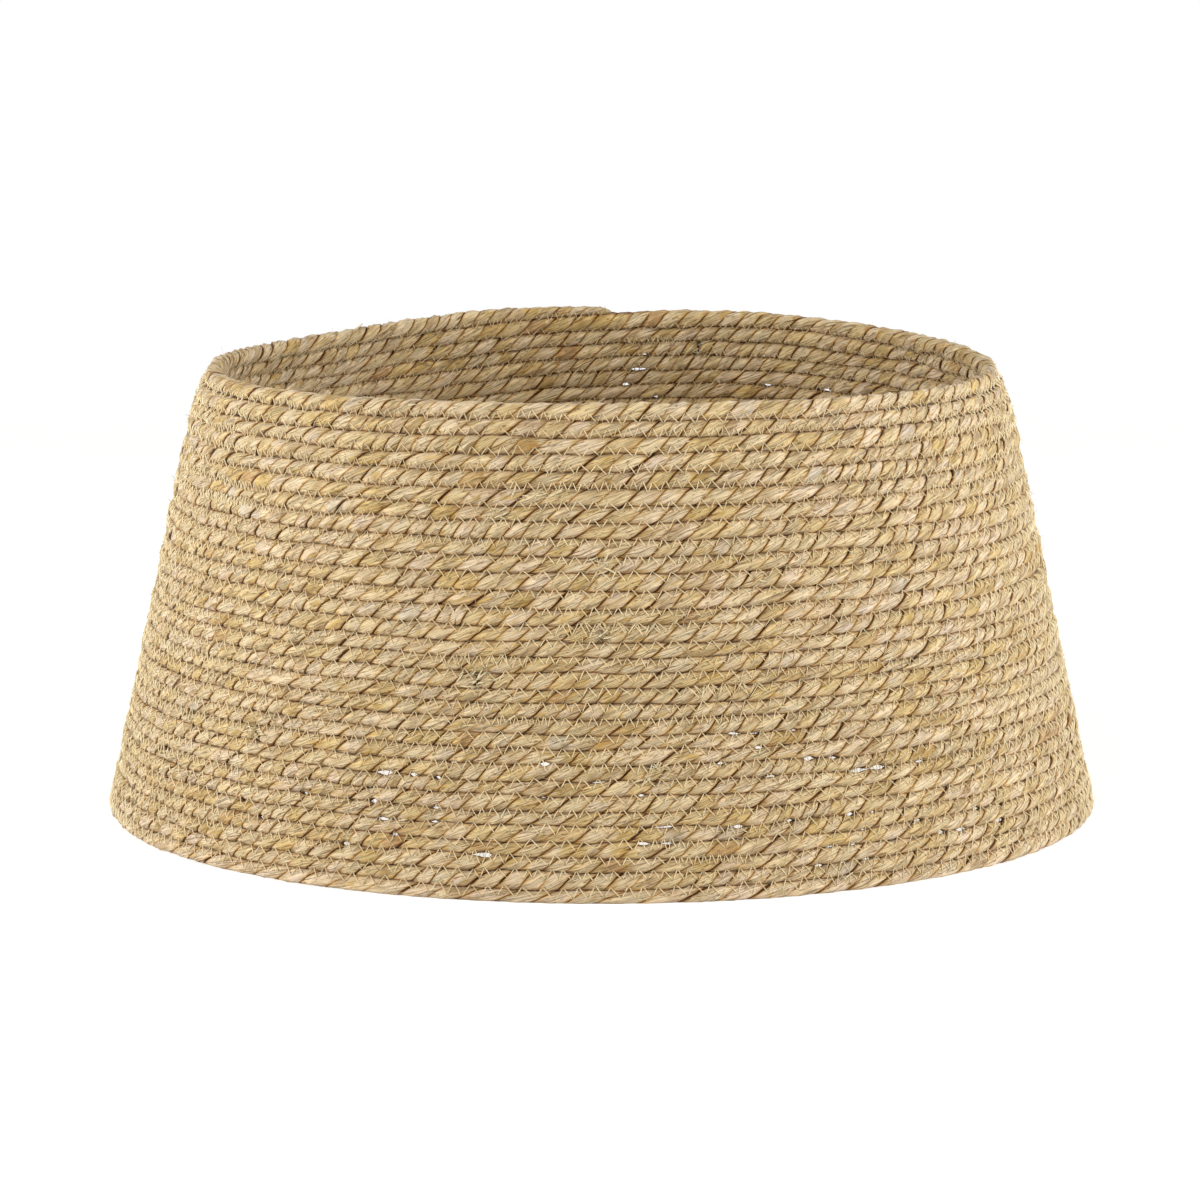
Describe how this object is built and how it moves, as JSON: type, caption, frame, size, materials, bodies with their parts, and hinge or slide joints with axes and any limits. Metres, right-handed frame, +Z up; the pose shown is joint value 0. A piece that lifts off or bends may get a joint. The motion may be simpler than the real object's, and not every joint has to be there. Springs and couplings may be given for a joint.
{
  "type": "tree collar basket",
  "caption": "Bottomless cone of coiled seagrass rope with a zigzag-stitched seam, open at the top and bottom, that hides a tree stand.",
  "frame": {"origin": "middle of the foot, on the floor", "axes": "+Z up through the middle of both openings, -Y towards the front, so the rope's ends are at the back, +Y"},
  "size_m": [0.5988, 0.5979, 0.2745],
  "materials": {
    "seagrass_rope": "natural twisted seagrass, dry and matt, straw to grey-green",
    "sewing_thread": "fine cream thread with a slight sheen"
  },
  "bodies": {
    "root": {"rope_length_1_base": "seagrass_rope", "rope_length_2": "seagrass_rope", "rope_length_3": "seagrass_rope", "rope_length_4": "seagrass_rope", "rope_length_5": "seagrass_rope", "rope_length_6": "seagrass_rope", "rope_length_7": "seagrass_rope", "rope_length_8": "seagrass_rope", "rope_length_9_rim": "seagrass_rope", "needle_thread_lower": "sewing_thread", "needle_thread_upper": "sewing_thread", "bobbin_thread_lower": "sewing_thread", "bobbin_thread_upper": "sewing_thread"}
  },
  "joints": []
}
